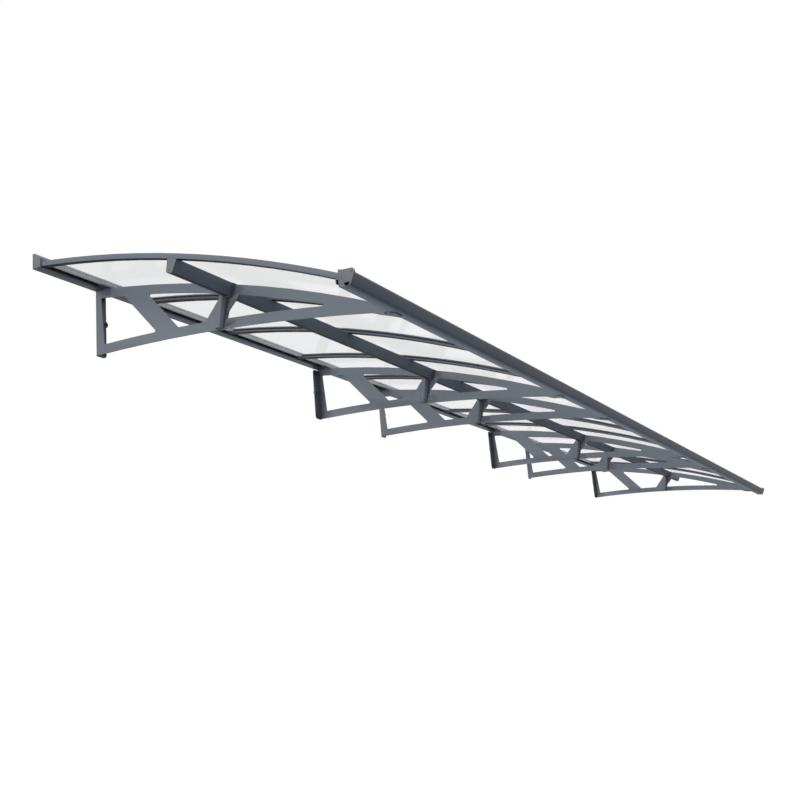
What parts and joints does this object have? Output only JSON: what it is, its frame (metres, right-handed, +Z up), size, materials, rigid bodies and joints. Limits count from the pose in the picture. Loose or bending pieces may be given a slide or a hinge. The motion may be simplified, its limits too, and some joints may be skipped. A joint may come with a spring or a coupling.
{
  "type": "door canopy",
  "caption": "Long arched door canopy: clear panels in dark grey profiles, carried by a wall rail, a beam, a front gutter and cast brackets.",
  "frame": {"origin": "on the wall, at the middle of the wall rail's back face, at mid-length", "axes": "+X along the wall to the right as seen from the street, +Y into the wall, +Z up; the canopy reaches out along -Y"},
  "size_m": [6.69, 1.382, 0.4718],
  "materials": {
    "rail_coat": "satin dark grey powder coat",
    "beam_coat": "satin dark grey powder coat",
    "gutter_coat": "satin dark grey powder coat",
    "profile_coat": "satin dark grey powder coat",
    "bracket_coat": "satin dark grey powder coat on cast metal",
    "cap_coat": "matt dark grey moulded plastic",
    "splice_metal": "plain extruded aluminium",
    "clear_panel": "clear, smooth sheet"
  },
  "bodies": {
    "root": {"wall_rail_1": "rail_coat", "wall_rail_2": "rail_coat", "wall_rail_3": "rail_coat", "wall_rail_cap_left": "cap_coat", "wall_rail_cap_right": "cap_coat", "wall_rail_splice_1": "splice_metal", "wall_rail_splice_2": "splice_metal", "beam_1": "beam_coat", "beam_2": "beam_coat", "beam_3": "beam_coat", "beam_cap_left": "cap_coat", "beam_cap_right": "cap_coat", "beam_splice_1": "splice_metal", "beam_splice_2": "splice_metal", "gutter_1": "gutter_coat", "gutter_2": "gutter_coat", "gutter_3": "gutter_coat", "gutter_cap_left": "cap_coat", "gutter_cap_right": "cap_coat", "gutter_splice_1": "splice_metal", "gutter_splice_2": "splice_metal", "side_profile_left": "profile_coat", "side_profile_right": "profile_coat", "joint_profile_01": "profile_coat", "joint_profile_02": "profile_coat", "joint_profile_03": "profile_coat", "joint_profile_04": "profile_coat", "joint_profile_05": "profile_coat", "joint_profile_06": "profile_coat", "joint_profile_07": "profile_coat", "joint_profile_08": "profile_coat", "joint_profile_09": "profile_coat", "joint_profile_10": "profile_coat", "joint_profile_11": "profile_coat", "panel_01": "clear_panel", "panel_02": "clear_panel", "panel_03": "clear_panel", "panel_04": "clear_panel", "panel_05": "clear_panel", "panel_06": "clear_panel", "panel_07": "clear_panel", "panel_08": "clear_panel", "panel_09": "clear_panel", "panel_10": "clear_panel", "panel_11": "clear_panel", "panel_12": "clear_panel", "bracket_1": "bracket_coat", "bracket_2": "bracket_coat", "bracket_3": "bracket_coat", "bracket_4": "bracket_coat", "bracket_5": "bracket_coat", "bracket_6": "bracket_coat"}
  },
  "joints": []
}
